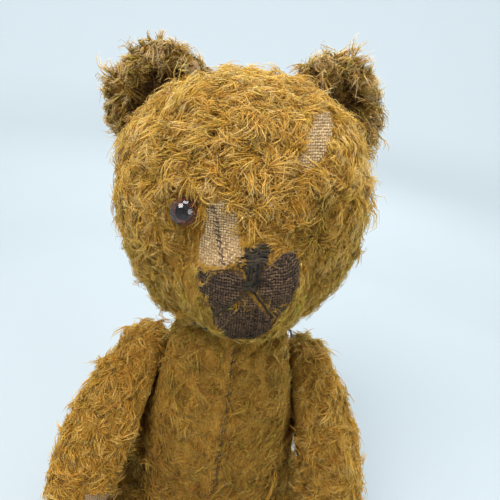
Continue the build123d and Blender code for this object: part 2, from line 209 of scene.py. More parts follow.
def remeshed(points, faces, voxel):
    """Voxel remesh, outer surface only."""
    thing = new_object("remesh_source", points, [faces], None, smooth=False)
    step = thing.modifiers.new("voxels", "REMESH")
    step.mode = "VOXEL"
    step.voxel_size = voxel * MM
    mesh = bpy.data.meshes.new_from_object(
        thing.evaluated_get(bpy.context.evaluated_depsgraph_get())
    )
    co = np.empty(len(mesh.vertices) * 3)
    mesh.vertices.foreach_get("co", co)
    quads = np.empty(len(mesh.loops), np.int32)
    mesh.loops.foreach_get("vertex_index", quads)
    bpy.data.objects.remove(thing)
    bpy.data.meshes.remove(mesh)
    return largest_island(co.reshape(-1, 3) / MM, quads.reshape(-1, 4))


class Skin:
    """Outer cloth surface of one soft body, as points and quads."""

    def __init__(self, names, voxel, smoothing=12):
        self.points, self.quads = remeshed(*node_mesh(names), voxel)
        self.smooth(smoothing)

    def smooth(self, rounds, rate=0.6):
        for _ in range(rounds):
            self.points += rate * (self.spread(self.points) - self.points)

    def spread(self, values):
        """Mean of each point's neighbours."""
        a = self.quads.ravel()
        b = np.roll(self.quads, -1, 1).ravel()
        total = np.zeros_like(values, dtype=float)
        count = np.zeros(len(values))
        for i, j in ((a, b), (b, a)):
            np.add.at(total, i, values[j])
            np.add.at(count, i, 1)
        return total / (count[:, None] if values.ndim > 1 else count)

    def normals(self):
        q = self.points[self.quads]
        face = np.cross(q[:, 2] - q[:, 0], q[:, 3] - q[:, 1])
        out = np.zeros_like(self.points)
        for k in range(4):
            np.add.at(out, self.quads[:, k], face)
        return unit(out)

    def centres(self):
        return self.points[self.quads].mean(1)

    def border(self, panel, rounds):
        """1 on the seams between panels, falling to 0 away from them."""
        low = np.full(len(self.points), 10**6)
        high = np.full(len(self.points), -1)
        for k in range(4):
            np.minimum.at(low, self.quads[:, k], panel)
            np.maximum.at(high, self.quads[:, k], panel)
        field = (low != high).astype(float)
        for _ in range(rounds):
            field = np.maximum(field, self.spread(field))
        return field

    def push(self, amount):
        self.points += self.normals() * amount[:, None]

    def tree(self):
        return BVHTree.FromPolygons(self.points.tolist(), self.quads.tolist())


def shell_object(name, skin, keep, thickness, material):
    """The kept faces of a skin as a closed cloth panel."""
    used, flat = np.unique(skin.quads[keep], return_inverse=True)
    outer = flat.reshape(-1, 4)
    count = len(used)
    points = skin.points[used]
    inner_points = points - skin.normals()[used] * thickness
    a, b = outer.ravel(), np.roll(outer, -1, 1).ravel()
    open_edge = ~np.isin(a * count + b, b * count + a)
    rim = np.stack([b, a, a + count, b + count], 1)[open_edge]
    faces = np.concatenate([outer, outer[:, ::-1] + count, rim])
    return new_object(name, np.concatenate([points, inner_points]), [faces], material)


# ---- strands ----
def strand_object(name, paths, radius, material, attributes, widths=(0.9, 1.0, 0.7, 0)):
    """Closed, tapering three-sided strands along paths of a few points each."""
    count, rings = len(paths), paths.shape[1] - 1
    place = np.linspace(0, 1, rings + 1)
    along = unit(np.gradient(paths, axis=1))
    helper = unit(paths[:, -1] - paths[:, 0] + 1e-6)
    helper = np.cross(helper, np.roll(helper, 1, axis=-1))[:, None, :] + 1e-4
    side = unit(np.cross(along, helper))
    up = np.cross(side, along)
    wide = radius[:, None] * np.interp(place[:-1], (0, 0.4, 0.75, 1), widths)
    corners = []
    for k in range(rings):
        for angle in 2 * np.pi * np.arange(3) / 3:
            offset = math.cos(angle) * side[:, k] + math.sin(angle) * up[:, k]
            corners.append(paths[:, k] + offset * wide[:, k, None])
    corners.append(paths[:, -1])
    points = np.stack(corners, 1)
    size = 3 * rings + 1
    start = (np.arange(count) * size)[:, None, None]
    quads = [[3 * k + i, 3 * k + j, 3 * k + 3 + j, 3 * k + 3 + i]
             for k in range(rings - 1) for i, j in ((0, 1), (1, 2), (2, 0))]
    last = 3 * rings - 3
    tris = [[last + i, last + j, last + 3] for i, j in ((0, 1), (1, 2), (2, 0))] + [[2, 1, 0]]
    quads = (start + np.array(quads)[None]).reshape(-1, 4)
    tris = (start + np.array(tris)[None]).reshape(-1, 3)
    thing = new_object(name, points.reshape(-1, 3), [quads, tris], material)
    height = np.append(np.repeat(place[:-1], 3), 1.0)
    add_attribute(thing, "along", np.tile(height, count))
    for key, values in attributes.items():
        add_attribute(thing, key, np.repeat(values, size))
    across = np.append(np.tile((0.2, 0.5, 0.8), rings), 0.5)
    strand_uv(thing, count, np.stack([across, 0.12 + 0.76 * height], 1))
    return thing


def strand_uv(thing, count, local):
    """One small cell of the map for each strand, its length running up the cell."""
    cells = math.ceil(math.sqrt(count))
    index = np.arange(count)
    corner = np.stack([index % cells, index // cells], 1)
    uv = (corner[:, None, :] + local[None]) / cells
    layer = thing.data.uv_layers.new(name="OFBake")
    loops = np.empty(len(thing.data.loops), np.int32)
    thing.data.loops.foreach_get("vertex_index", loops)
    layer.data.foreach_set("uv", uv.reshape(-1, 2)[loops].astype(np.float32).ravel())


class Pile:
    """Clumps of curly strands growing out of a skin."""

    def __init__(self, skin, seed):
        self.skin = skin
        self.rng = np.random.default_rng(seed)

    def scatter(self, keep, per_mm2):
        """Random places on the kept faces, evenly by area."""
        quads = self.skin.quads[keep]
        tris = np.concatenate([quads[:, [0, 1, 2]], quads[:, [0, 2, 3]]])
        corner = self.skin.points[tris]
        area = np.linalg.norm(
            np.cross(corner[:, 1] - corner[:, 0], corner[:, 2] - corner[:, 0]), axis=1
        ) / 2
        count = int(area.sum() * per_mm2)
        pick = self.rng.choice(len(tris), count, p=area / area.sum())
        a, b = self.rng.random(count), self.rng.random(count)
        flip = a + b > 1
        a[flip], b[flip] = 1 - a[flip], 1 - b[flip]
        weight = np.stack([1 - a - b, a, b], 1)[..., None]
        at = (corner[pick] * weight).sum(1)
        out = unit((self.skin.normals()[tris[pick]] * weight).sum(1))
        thinner_at_the_back = clip01((at[:, 1] - 8) / 25) * 0.3
        worn = thinner_at_the_back > self.rng.random(count)
        return at[~worn], out[~worn]

    def grow(self, at, out, flow, style):
        """Paths, radii and tones of the strands around the clump centres."""
        rng = self.rng
        clumps = len(at)
        style = {**COMMON_STYLE, **style}
        size = style["strands"]
        total = clumps * size
        scale = style.get("scale", np.ones(clumps))

        def rep(values):
            return np.repeat(values, size, axis=0)

        lean = unit(flow - out * (flow * out).sum(1, keepdims=True))
        side = np.cross(out, lean)
        seeds = rng.integers(1, 10**6, 6)
        widths = (9.0, 11.0, 13.0, 8.0, 15.0, 7.0)
        field = [Waves(s, width)(at) for s, width in zip(seeds, widths)]
        spin = 1.1 * field[0] + rng.normal(0, style["disorder"], clumps)
        heading = lean * np.cos(spin)[:, None] + side * np.sin(spin)[:, None]
        cross = np.cross(out, heading)
        rise0 = style["rise"] + 0.30 * field[3] + rng.normal(0, 0.12, clumps)
        rise1 = style["fall"] + rng.normal(0, 0.25, clumps)
        bend = style["curl"] * (1.2 * field[1] + rng.normal(0, 0.45, clumps))
        phase = 4.0 * field[2] + rng.normal(0, 0.5, clumps)
        beat = 3.8 + 1.6 * field[4] + rng.normal(0, 0.4, clumps)
        long = style["length"] * scale * rng.lognormal(0, 0.30, clumps)
        spot = np.sqrt(rng.random(total)) * rep(style["reach"] * np.sqrt(scale))
        turn = rng.uniform(0, 2 * np.pi, total)
        root = rep(heading) * (spot * np.cos(turn))[:, None]
        root = root + rep(cross) * (spot * np.sin(turn))[:, None]
        long = rep(long) * rng.uniform(0.55, 1.12, total)
        rise0 = rep(rise0) + rng.normal(0, 0.13, total)
        rise1 = rep(rise1) + rng.normal(0, 0.15, total)
        bend = rep(bend) + rng.normal(0, 0.16, total)
        phase = rep(phase) + rng.normal(0, 0.3, total)
        beat = rep(beat)
        here = np.zeros((total, 3))
        path = [here.copy()]
        for i in range(CURL_STEPS):
            t = (i + 0.5) / CURL_STEPS
            rise = rise0 + (rise1 - rise0) * t**0.8
            yaw = bend * (np.sin(beat * t + phase) - np.sin(phase)) * 1.3 + bend * t
            step = np.cos(rise) * np.cos(yaw)
            move = rep(heading) * step[:, None]
            move += rep(cross) * (np.cos(rise) * np.sin(yaw))[:, None]
            move += rep(out) * np.sin(rise)[:, None]
            here = here + move * (long / CURL_STEPS)[:, None]
            path.append(here.copy())
        path = np.stack(path, 1)
        place = np.linspace(0, 1, style["points"])
        ring = (place * CURL_STEPS).round().astype(int)
        gather = style["gather"] * place[None, :, None]
        paths = rep(at - out * ROOTED)[:, None] + root[:, None] * (1 - gather) + path[:, ring]
        radius = style["radius"] * rng.lognormal(0, 0.18, total) * rep(np.sqrt(scale))
        tone = rep(1.1 * field[5] + rng.normal(0, 0.35, clumps)) + rng.normal(0, 0.3, total)
        return paths, radius, tone


def pile_objects(name, body, paths, radius, material, attributes):
    """Store a pile in pieces of a limited size, kept clear of the floor."""
    paths[..., 2] = np.maximum(paths[..., 2], SEAT_GAP)
    pieces = max(1, math.ceil(len(paths) / STRANDS_PER_PIECE))
    for k in range(pieces):
        part = slice(k * len(paths) // pieces, (k + 1) * len(paths) // pieces)
        ends = {key: values[part] for key, values in attributes.items()}
        label = name if pieces == 1 else name + "_" + str(k + 1)
        thing = strand_object(label, paths[part], radius[part], material, ends)
        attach(thing, body)


def lay_pile(pile, name, body, looks, places, flow, stain_and_shade, tint=0.0, **style):
    """Grow the pile of one cover, darkened by stain and painted shade and lightened by a tint,
    painted light on the ear rims, by the amounts at its clumps.
    """
    at, out = places
    slot, material = looks
    paths, radius, tone = pile.grow(at, out, flow, style)
    count = style["strands"]
    tone = tone + np.repeat(np.broadcast_to(tint, len(at)), count)
    values = {"tone": tone, "stain_and_shade": np.repeat(stain_and_shade, count)}
    pile_objects(name + "_pile", body, paths, radius, material, values)


# ---- materials ----
class Shade:
    """A node material built up around its Principled shader."""

    def __init__(self, name, **values):
        self.material = bpy.data.materials.new(name)
        self.material.use_nodes = True
        self.tree = self.material.node_tree
        self.shader = self.tree.nodes["Principled BSDF"]
        for key, value in values.items():
            self.shader.inputs[key.replace("_", " ")].default_value = value

    def link(self, made, values):
        """Set or connect numbered or named inputs of a node."""
        for key, value in values:
            if isinstance(value, bpy.types.NodeSocket):
                self.tree.links.new(value, made.inputs[key])
            else:
                made.inputs[key].default_value = value
        return made

    def node(self, kind, inputs=(), **settings):
        made = self.tree.nodes.new(kind)
        for key, value in settings.items():
            setattr(made, key, value)
        return self.link(made, dict(inputs).items())

    def ramp(self, factor, stops):
        made = self.node("ShaderNodeValToRGB", {"Fac": factor})
        elements = made.color_ramp.elements
        while len(elements) < len(stops):
            elements.new(0.5)
        for element, (place, colour) in zip(elements, stops):
            element.position = place
            element.color = (*colour, 1.0)
        return made.outputs["Color"]

    def mix(self, factor, a, b, mode="MIX"):
        made = self.node("ShaderNodeMix", data_type="RGBA", blend_type=mode)
        return self.link(made, ((0, factor), (6, a), (7, b))).outputs[2]

    def math(self, operation, *values, use_clamp=False):
        made = self.node("ShaderNodeMath", operation=operation, use_clamp=use_clamp)
        return self.link(made, enumerate(values)).outputs[0]

    def attribute(self, name):
        return self.node("ShaderNodeAttribute", attribute_name=name).outputs["Fac"]

    def place(self):
        return self.node("ShaderNodeTexCoord").outputs["Object"]

    def noise(self, scale, detail=3.0, roughness=0.6):
        ask = {"Vector": self.place(), "Scale": scale, "Detail": detail, "Roughness": roughness}
        return self.node("ShaderNodeTexNoise", ask).outputs["Fac"]

    def fibres(self, stretch, scale, distortion):
        """Noise drawn out upwards into streaks."""
        ask = {"Vector": self.place(), "Scale": (1.0, 1.0, stretch)}
        drawn = self.node("ShaderNodeMapping", ask).outputs[0]
        ask = {"Vector": drawn, "Scale": scale, "Detail": 4.0, "Distortion": distortion}
        return self.node("ShaderNodeTexNoise", ask).outputs["Fac"]

    def bump(self, height, strength, distance):
        ask = {"Height": height, "Strength": strength, "Distance": distance}
        made = self.node("ShaderNodeBump", ask)
        self.tree.links.new(made.outputs["Normal"], self.shader.inputs["Normal"])

    def colour(self, socket):
        """Connect the colour and hand over the finished material."""
        self.tree.links.new(socket, self.shader.inputs["Base Color"])
        return self.material


def pile_material(name, root, middle, tip, stain_and_shade):
    """Mohair: dark at the root, light at the tip, uneven in hue over the surface."""
    shade = Shade(
        name, Roughness=0.8, Specular_IOR_Level=0.15, Sheen_Weight=0.12, Sheen_Roughness=0.45,
        Sheen_Tint=(1.0, 0.78, 0.42, 1.0), Subsurface_Weight=0.7, Subsurface_Scale=0.0015,
        Subsurface_Radius=(0.9, 0.9, 0.9),
    )
    tone = shade.math("MULTIPLY", shade.attribute("tone"), 0.14)
    place = shade.math("ADD", shade.attribute("along"), tone)
    base = shade.ramp(place, [(0.0, root), (0.45, middle), (1.0, tip)])
    broad = shade.math("SUBTRACT", shade.noise(28.0, 2.0), 0.5)
    broad = shade.math("MULTIPLY_ADD", broad, 2.2, 0.35)
    aged = shade.mix(0.55, base, (0.62, 0.40, 0.20, 1.0), "MULTIPLY")
    base = shade.mix(broad, base, aged)
    flecks = [(0.3, (0.72, 0.70, 0.68)), (0.7, (1.16, 1.15, 1.1))]
    fine = shade.ramp(shade.noise(160.0, 2.0), flecks)
    base = shade.mix(1.0, base, fine, "MULTIPLY")
    # Real stains and painted shade: mixed towards the last, darkest colour by the amount laid on
    # each strand.
    base = shade.mix(shade.attribute("stain_and_shade"), base, (*stain_and_shade, 1.0))
    return shade.colour(base)


def cloth_material(name, low, high, pitch):
    """Plain woven backing cloth: crossing yarns with gaps, dirt in the hollows."""
    shade = Shade(name, Roughness=0.9, Specular_IOR_Level=0.2, Sheen_Weight=0.2)
    ask = {"Vector": shade.place(), "Scale": 0.31 / (pitch * MM), "Distortion": 0.6,
           "Detail": 1.0, "Detail Scale": 1.0}
    yarns = [
        shade.node("ShaderNodeTexWave", ask, bands_direction=axis).outputs["Fac"]
        for axis in ("X", "Z")
    ]
    weave = shade.math("MULTIPLY", *yarns)
    height = shade.math("MULTIPLY_ADD", shade.noise(90.0, 4.0), 0.4, weave)
    shade.bump(height, 0.7, 0.0006)
    return shade.colour(shade.ramp(height, [(0.15, low), (0.95, high)]))


def felt_material(name, low, high):
    """Ground of the pile, matted into short streaks of fibre."""
    shade = Shade(name, Roughness=0.9, Specular_IOR_Level=0.1)
    fibres = shade.fibres(0.3, 900.0, 2.0)
    shade.bump(fibres, 0.8, 0.0008)
    base = shade.ramp(fibres, [(0.32, low), (0.68, high)])
    base = shade.mix(shade.attribute("soiled"), base, (0.030, 0.018, 0.010, 1.0))
    return shade.colour(shade.mix(shade.attribute("faded"), base, (0.36, 0.24, 0.12, 1.0)))


def thread_material(name, low, high):
    """Spun yarn, each length in a tone of its own."""
    shade = Shade(name, Roughness=0.8, Specular_IOR_Level=0.15, Sheen_Weight=0.06)
    wear = shade.math("MULTIPLY_ADD", shade.attribute("tone"), 0.2, shade.noise(400.0))
    return shade.colour(shade.ramp(wear, [(0.25, low), (0.8, high)]))


def steel_material():
    """Dull steel with a little rust."""
    shade = Shade("dull_steel", Metallic=1.0)
    grain = shade.noise(900.0, 4.0)
    shade.bump(grain, 0.2, 0.0002)
    rough = shade.ramp(grain, [(0.3, (0.32,) * 3), (0.7, (0.5,) * 3)])
    shade.tree.links.new(rough, shade.shader.inputs["Roughness"])
    rusty = [(0.45, (0.42, 0.41, 0.40)), (0.75, (0.24, 0.15, 0.09))]
    return shade.colour(shade.ramp(shade.noise(120.0), rusty))


def board_material():
    """Pressed brown board."""
    shade = Shade("hardboard", Roughness=0.7)
    fibres = shade.noise(700.0, 5.0, 0.7)
    shade.bump(fibres, 0.3, 0.0003)
    return shade.colour(shade.ramp(fibres, [(0.3, (0.13, 0.07, 0.035)), (0.7, (0.28, 0.17, 0.09))]))


def wood_wool_material():
    """Packed curls of shaved wood."""
    shade = Shade("wood_wool", Roughness=0.85)
    curls = shade.fibres(0.18, 520.0, 1.5)
    shade.bump(curls, 0.9, 0.001)
    return shade.colour(shade.ramp(curls, [(0.3, (0.36, 0.22, 0.10)), (0.7, (0.72, 0.55, 0.31))]))


def glass_material():
    """Clear brown glass, bent little so that the iris behind it shows."""
    shade = Shade("brown_glass", Roughness=0.02, IOR=1.15, Transmission_Weight=1.0,
                  Coat_Weight=1.0)
    swirl = shade.noise(300.0, 2.0)
    return shade.colour(shade.ramp(swirl, [(0.3, (0.62, 0.40, 0.32)), (0.7, (0.72, 0.50, 0.40))]))


def pupil_material():
    """Black paint."""
    shade = Shade("eye_pupil", Roughness=0.5, Specular_IOR_Level=0.1)
    stops = [(0.3, (0.001, 0.001, 0.001)), (0.7, (0.004, 0.003, 0.003))]
    return shade.colour(shade.ramp(shade.noise(500.0, 2.0), stops))


# Slot and material of each pile: its root, middle, tip and stain-and-shade colours; the last paints
# real stains and painted shade.
HEAD_PILE = "mohair", pile_material(
    "mohair_head",
    (0.22, 0.083, 0.006), (0.53, 0.232, 0.017), (0.82, 0.415, 0.052), (0.14, 0.044, 0.004),
)
BODY_PILE = "mohair", pile_material(
    "mohair_body",
    (0.19, 0.070, 0.005), (0.48, 0.208, 0.016), (0.79, 0.395, 0.044), (0.10, 0.032, 0.003),
)
EAR_PILE = "ear_mohair", pile_material(
    "mohair_ear",
    (0.07, 0.028, 0.003), (0.27, 0.127, 0.014), (0.62, 0.340, 0.068), (0.032, 0.011, 0.002),
)
BACKING = felt_material("pile_ground", (0.13, 0.058, 0.009), (0.36, 0.19, 0.03))
PAD_CLOTH = cloth_material("pad_cloth", (0.15, 0.085, 0.038), (0.42, 0.275, 0.14), 0.9)
PALE_WEAVE = thread_material("bare_weave", (0.30, 0.19, 0.085), (0.66, 0.49, 0.27))
DARK_WEAVE = thread_material("soiled_weave", (0.018, 0.010, 0.005), (0.145, 0.086, 0.045))
CHARCOAL = thread_material("charcoal_thread", (0.004, 0.003, 0.002), (0.045, 0.032, 0.018))
SEAM_THREAD = thread_material("seam_thread", (0.020, 0.012, 0.008), (0.12, 0.075, 0.045))
NECK_THREAD = thread_material("neck_thread", (0.018, 0.017, 0.024), (0.12, 0.115, 0.14))


# ---- soft bodies ----
def frame_slot(node):
    """The material slot of a CAD node."""
    slots = {part["node"]: part["material_slot"] for part in frame["record"]["subparts"]}
    return slots[node]


def cover_panels(skin, body, panel, names, thickness, materials, wear=()):
    """Cut a skin into cloth panels, one for each cover node of the CAD."""
    for k, name in enumerate(names):
        keep = panel == k
        thing = shell_object(name + "_cloth", skin, keep, thickness, materials[k])
        for key, values in dict(wear).items():
            add_attribute(thing, key, np.tile(values[np.unique(skin.quads[keep])], 2))
        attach(thing, body)
        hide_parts(name)


def relief(skin, panel, groove, lump, seed, calm=1.0):
    """Pull the seams in and make the stuffing a little lumpy, less so where calm is near 0."""
    field = skin.border(panel, 2)
    noise = Waves(seed, 34.0)(skin.points) + 0.5 * Waves(seed + 1, 14.0)(skin.points)
    skin.push(lump * noise * calm - groove * field - 0.15 * (calm < 0.5))
    skin.smooth(1, 0.4)


# Outlines of the bare places, as x and z on the front of the head.
BRIDGE = [(-15.5, 73.0), (-9.5, 74.0), (-5.0, 69.5), (-4.2, 62.0), (-3.2, 56.5), (-9.0, 54.0),
          (-18.5, 51.8), (-19.0, 57.0), (-16.8, 61.5), (-17.3, 67.0)]
PATCH_RIGHT = [(-18.5, 50.0), (-2.7, 54.0), (-1.2, 49.0), (-12.0, 36.5), (-17.5, 43.0)]
PATCH_LEFT = [(4.7, 55.2), (12.0, 57.0), (19.5, 56.0), (18.0, 47.0), (11.0, 37.5), (2.2, 48.8)]
CHIN = [(-1.0, 47.0), (9.0, 37.5), (8.0, 31.0), (2.0, 24.0), (-6.0, 24.5), (-11.5, 32.0),
        (-11.0, 37.0)]
BROW_PATCH = [(16.0, 88.5), (21.0, 85.5), (26.5, 91.5), (31.5, 99.5), (30.0, 105.5), (24.5, 103.5),
              (18.5, 96.0)]
PALE_OUTLINES = (BRIDGE, BROW_PATCH)
SOILED_OUTLINES = (PATCH_RIGHT, PATCH_LEFT, CHIN)


def gusset_half(y):
    """Half the width of the head's centre strip."""
    return np.interp(y, (-90, -60, -45, -15, 20, 45, 90), (6.5, 8, 12, 19, 19, 13, 8))


def head_panels(centres):
    """0 on the centre strip, 1 on the left side and 2 on the right side."""
    p = head_local(centres)
    strip = (np.abs(p[:, 0]) < gusset_half(p[:, 1])) & ((p[:, 2] > 50) | (p[:, 1] > 0))
    return np.where(strip, 0, np.where(p[:, 0] > 0, 1, 2))


def near(p, point, radius):
    """1 at a point, falling to 0 at a radius from it."""
    return clip01(1 - np.linalg.norm(p - point, axis=1) / radius)


def crease(p, start, end, width):
    """1 along a segment, falling to 0 at a distance from it."""
    along = end - start
    f = clip01((p - start) @ along / (along @ along))
    return clip01(1 - np.linalg.norm(p - start - f[:, None] * along, axis=1) / width)


def bare_on_head(p, wobble):
    """Which clumps of the head would stand on bare cloth, stitches or the eye."""
    x, y, z = p.T
    bare = np.zeros(len(p), bool)
    for outlines, clear in ((PALE_OUTLINES, 1.2), (SOILED_OUTLINES, 0.0)):
        for dx, dz in ((0, 0), (1, 0), (-1, 0), (0, 1.3), (0, -0.4)):
            for outline in outlines:
                bare |= inside(outline, x + wobble + clear * dx, z + wobble - clear * dz)
    bare &= (y < -10) & ~left_on_chin(p, 3.6)
    bare |= np.linalg.norm(p - EYE_AT, axis=1) < EYE_CLEAR
    nose = (np.abs(x - 2.4) < 5.0) & (z > 48) & (z < 60.0) & (y < -56)
    return bare | nose | (z < 1.2)


def left_on_chin(p, radius):
    """Whether a clump is in the small patch of pile left under the nose."""
    return (np.hypot(p[:, 0] + 1.5, p[:, 2] - 41.0) < radius) & (p[:, 1] < -40)


def build_head():
    """Cloth and pile of the head; hands back its skin for the face."""
    names = ["head_gusset", "head_side_left", "head_side_right"]
    skin = Skin(names + ["head_stuffing"], 1.8)
    panel = head_panels(skin.centres())
    relief(skin, panel, 0.9, 0.55, 11)
    p = head_local(skin.points)
    skin.push(-2.2 * near(p, LOST_EYE_AT, 9.0) - 1.2 * near(p, EYE_AT, 11.0))
    p = head_local(skin.points)
    front = p[:, 1] < -10
    soiled = sum(inside(o, p[:, 0], p[:, 2]) for o in SOILED_OUTLINES) * front
    faded = sum(inside(o, p[:, 0], p[:, 2]) for o in PALE_OUTLINES) * front
    skin.push(0.5 * skin.spread(soiled.astype(float)) * soiled)
    wear = {"soiled": np.minimum(soiled, 1), "faded": np.minimum(faded, 1)}
    cover_panels(skin, "head", panel, names, 1.3, [BACKING] * 3, wear)
    pile = Pile(skin, 101)
    for k, name in enumerate(names):
        at, out = pile.scatter(panel == k, 0.22)
        p = head_local(at)
        bare = bare_on_head(p, Waves(5, 6.0)(at) * 0.7)
        at, out, p = at[~bare], out[~bare], p[~bare]
        flow = np.array((0.0, -0.25, -0.6)) + 1.35 * swirls(at, 21, 26.0)
        flow = flow + unit(p - EYE_AT) * (3.0 * near(p, EYE_AT, 17.0))[:, None]
        middle = np.array((-11.0, -62.0, 62.0))
        flow = flow + unit(p - middle) * (2.5 * near(p, middle, 17.0))[:, None]
        _, y, z = p.T
        muzzle = clip01((-y - 44) / 12) * (z < 66)
        cheek = clip01((66 - z) / 14)
        scale = (1 - 0.35 * muzzle) * (1 - 0.35 * near(p, EYE_AT, 14.0)) * (1 - 0.22 * cheek)
        scale = scale * np.where(z < 8, 0.6, 1.0)
        scale = scale * np.where(left_on_chin(p, 4.0), 0.7, 1.0)
        # Darker pile: a real stain where the other eye was lost, darker around the eye and on the
        # muzzle, and painted shade growing down the lower head towards the chin.
        stain_and_shade = 1.1 * near(p, LOST_EYE_AT, 14.0) + 0.4 * near(p, EYE_AT, 15.0)
        stain_and_shade = stain_and_shade + 0.3 * muzzle + 0.42 * clip01((74 - z) / 36)
        stain_and_shade = stain_and_shade + 0.12 * Waves(31, 16.0)(at)
        lay_pile(pile, name, "head", HEAD_PILE, (at, out), flow, np.clip(stain_and_shade, 0, 0.85),
                 strands=12, length=9.2, radius=0.15, reach=1.9, rise=0.95, fall=-0.62,
                 curl=1.7, gather=0.6, points=5, scale=scale)
    return skin


def build_ear(side):
    """Cloth and pile of one ear, with upright locks and the bald spot."""
    names = ["ear_front_" + side, "ear_back_" + side]
    skin = Skin(names, 1.1, 8)
    sign = 1 if side == "left" else -1
    mirror = np.array((sign, 1, 1))
    facing = unit(EAR_FACING) * mirror
    cup = EAR_RIM_AT * mirror + facing * 15.0
    panel = (np.linalg.norm(head_local(skin.centres()) - cup, axis=1) > EAR_MIDDLE).astype(int)
    relief(skin, panel, 0.2, 0.3, 41 + sign)
    bald = near(head_local(skin.points), EAR_BALD_AT, 8.0) > 0
    wear = {"soiled": np.zeros(len(bald)), "faded": 1.0 * bald}
    cover_panels(skin, "head", panel, names, 1.0, [BACKING] * 2, wear)
    pile = Pile(skin, 201 + sign)
    for k, name in enumerate(names):
        at, out = pile.scatter(panel == k, 0.27)
        p = head_local(at)
        if side == "right":
            bald = np.linalg.norm(p - EAR_BALD_AT, axis=1) < 6.0
            at, out, p = at[~bald], out[~bald], p[~bald]
        from_middle = unit(p - EAR_RIM_AT * mirror)
        rim = clip01(1 - np.abs((p - EAR_RIM_AT * mirror) @ facing) / 6.5)
        outward = head_world(from_middle) - (0, 0, NECK_Z)
        around = np.cross(outward, facing) * sign
        flow = 0.9 * swirls(at, 51 + sign, 15.0)
        flow = flow + around * (0.3 + 0.4 * rim)[:, None] + (0, 0, -0.35)
        if k == 0:
            flow = flow + outward * (0.5 - 1.2 * rim)[:, None]
        else:
            flow = flow + facing * (0.9 * rim)[:, None]
        high = clip01((p[:, 2] - 108) / 14)
        low = clip01((92 - p[:, 2]) / 12)
        flow = flow + outward * (0.6 * high)[:, None] + (0, 0, -1.0) * low[:, None]
        tufts = clip01(Waves(61 + sign, 14.0)(at)) * rim
        scale = 0.85 + 0.15 * (k == 0) + 0.35 * tufts + 0.3 * low
        scale = scale + (0.25 if side == "left" else 0.0) * high
        rise = np.full(len(at), 0.95)
        for way in EAR_TUFTS[side]:
            way = unit(np.array(way) - facing * (np.array(way) @ facing))
            lock = near(p, EAR_RIM_AT * mirror + 25.0 * way, 6.5)
            scale = scale + 0.6 * lock
            rise = rise + 0.6 * lock
            flow = flow + outward * (1.6 * lock)[:, None]
        # Painted shade: the pile is darker away from the rim, most in the front cups and most of
        # all in the right ear; the tint lifts the rim as painted light.
        front_cup_shade = 1.7 if side == "right" else 1.1
        stain_and_shade = np.clip((front_cup_shade if k == 0 else 0.35) * (1 - rim), 0, 0.92)
        lay_pile(pile, name, "head", EAR_PILE, (at, out), flow, stain_and_shade, 0.7 * rim,
                 strands=13, length=8.6, radius=0.18, reach=1.6, rise=rise, curl=1.8,
                 gather=0.68, points=5, scale=scale)


def build_torso():
    """Cloth and pile of the torso, short where the limbs press on it."""
    names = ["torso_panel_left", "torso_panel_right"]
    skin = Skin(names + ["torso_stuffing"], 2.2)
    panel = (skin.centres()[:, 0] < 0).astype(int)
    x, z = np.abs(skin.points[:, 0]), skin.points[:, 2]
    joint_face = np.where(z > 90, 44.0 - 0.13 * (z - 90), HIP_X)
    calm = clip01(np.where((z > 55) & (z < 105), 1.0, (joint_face - x) / 12))
    relief(skin, panel, 1.3, 0.6, 71, np.minimum(calm, clip01((172 - z) / 10)))
    cover_panels(skin, "torso", panel, names, 1.3, [BACKING] * 2)
    pile = Pile(skin, 301)
    for k, name in enumerate(names):
        at, out = pile.scatter(panel == k, 0.13)
        away = arm_local(at * ((1 if k == 0 else -1), 1, 1), "left")
        ring = np.hypot(away[:, 1], away[:, 2])
        bare = (away[:, 0] > -2.0) & (ring < 15)
        x, z = np.abs(at[:, 0]), at[:, 2]
        bare |= (z > 174.2) | (z < 0.6) | (x < 1.3) | (x > 34.2) & (z < 53)
        at, out, x, z = at[~bare], out[~bare], x[~bare], z[~bare]
        flow = np.array((0, 0, -1.0)) + 0.9 * swirls(at, 81, 24.0) + unit(at * (1, 0, 0)) * 0.2
        shoulder = clip01(1 - np.abs(x - 36) / 8) * (z > 90)
        flank = clip01((x - 26) / 8) * (z < 104) * (z > 56)
        scale = (1 - 0.45 * shoulder) * np.where(z > 168, 0.8, 1.0) + 0.8 * flank
        # Painted shade cast by the head over the whole torso, with a random tone on top.
        stain_and_shade = np.clip(0.55 + 0.2 * Waves(91, 30.0)(at), 0, 0.85)
        lay_pile(pile, name, "torso", BODY_PILE, (at, out), flow, stain_and_shade,
                 strands=9, length=7.8, radius=0.21, reach=1.9, rise=0.72, curl=1.4,
                 gather=0.5, scale=scale)
    return skin


LIMB_STYLES = {
    "arm": dict(strands=9, length=8.6, radius=0.20, reach=1.9, rise=0.85, curl=1.45, gather=0.55),
    "leg": dict(strands=8, length=8.0, radius=0.25, reach=2.0, rise=0.78, curl=1.4, gather=0.5),
}


